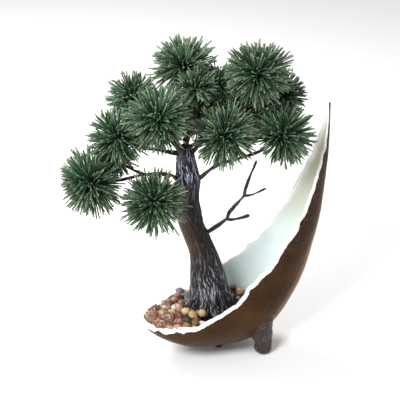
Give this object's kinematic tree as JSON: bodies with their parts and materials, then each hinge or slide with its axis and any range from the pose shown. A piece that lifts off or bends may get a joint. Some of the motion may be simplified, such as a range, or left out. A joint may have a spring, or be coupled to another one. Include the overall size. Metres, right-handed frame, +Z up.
{
  "type": "artificial bonsai tree in a crescent pot",
  "caption": "Artificial pine tree with wire branches and round needle tufts, set among pebbles in a brown crescent-shaped pot with a white inside and stub feet.",
  "frame": {"origin": "on the ground, under the middle of the nub below the pot's belly", "axes": "+X towards the pot's tall tip, +Y to the back, +Z up"},
  "size_m": [0.3628, 0.2112, 0.4373],
  "materials": {
    "pot_paint": "satin",
    "white_coat": "satin",
    "plaster": "matte",
    "rod_steel": "satin",
    "bark": "satin",
    "coated_wire": "satin",
    "needles": "matte",
    "stone_russet": "satin",
    "stone_tan": "satin",
    "stone_slate": "satin",
    "stone_olive": "satin",
    "stone_white": "satin"
  },
  "bodies": {
    "root": {"pot_shell": "pot_paint", "pot_lining": "white_coat", "foot_front": "pot_paint", "foot_back": "pot_paint", "foot_belly": "pot_paint", "plaster_plug": "plaster", "trunk_rod": "rod_steel", "trunk": "bark", "leader": "coated_wire", "branch_top_right": "coated_wire", "branch_top_left": "coated_wire", "branch_left_high": "coated_wire", "branch_left_low": "coated_wire", "branch_right": "coated_wire", "branch_back": "coated_wire", "bare_twig": "coated_wire", "tuft_top": "needles", "tuft_top_right": "needles", "tuft_top_mid": "needles", "tuft_crown_back": "needles", "tuft_top_left": "needles", "tuft_left_back": "needles", "tuft_left_high": "needles", "tuft_left_under": "needles", "tuft_far_left": "needles", "tuft_front_left": "needles", "tuft_centre": "needles", "tuft_right": "needles", "tuft_right_back": "needles", "tuft_back_mid": "needles", "tuft_back_right": "needles", "tuft_back_left": "needles", "pebbles_russet": "stone_russet", "pebbles_tan": "stone_tan", "pebbles_slate": "stone_slate", "pebbles_olive": "stone_olive", "pebbles_white": "stone_white"}
  },
  "joints": []
}
